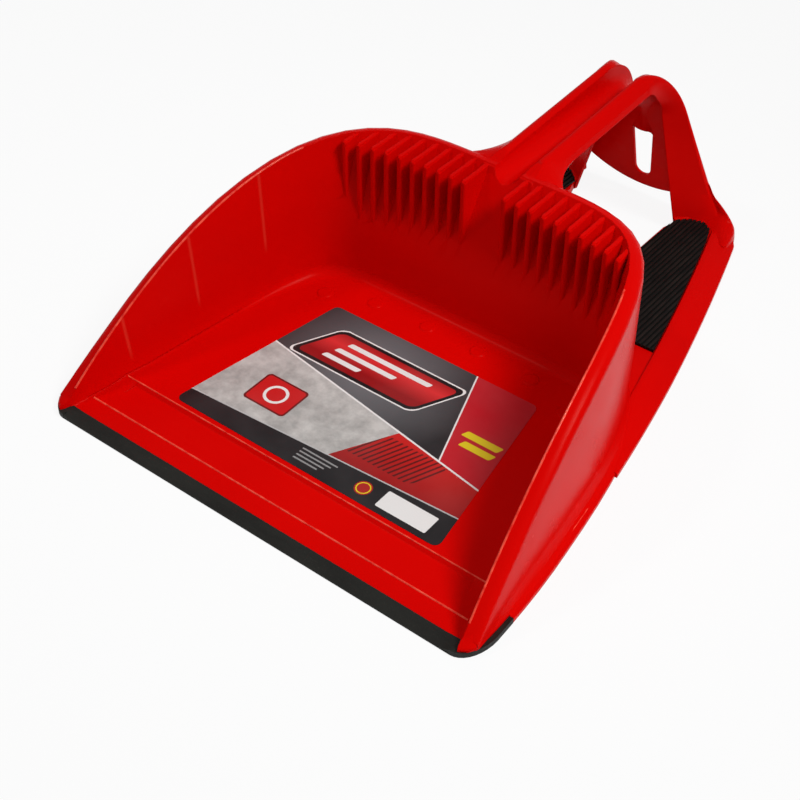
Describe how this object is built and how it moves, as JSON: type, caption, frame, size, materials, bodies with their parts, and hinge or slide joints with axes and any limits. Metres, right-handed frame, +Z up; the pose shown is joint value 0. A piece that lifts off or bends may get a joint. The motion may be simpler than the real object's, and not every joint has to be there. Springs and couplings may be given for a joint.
{
  "type": "step-on dustpan",
  "caption": "Moulded plastic step-on dustpan with a rubber lip strip, comb teeth, two rubber-treaded foot wings and a loop handle with a broom trough and hang slot.",
  "frame": {"origin": "centre of the footprint, on the floor the pan lies on", "axes": "+Z up, +Y from the lip back to the handle's end, +X across the mouth to the right as seen from the lip"},
  "size_m": [0.362, 0.49, 0.1367],
  "materials": {
    "pan": "semi-gloss moulded polypropylene",
    "lip": "matt extruded rubber",
    "tread": "matt ribbed rubber",
    "label": "printed satin film"
  },
  "bodies": {
    "root": {"pan_body": "pan", "lip_strip": "lip", "tread_pad_left": "tread", "tread_pad_right": "tread", "label": "label"}
  },
  "joints": []
}
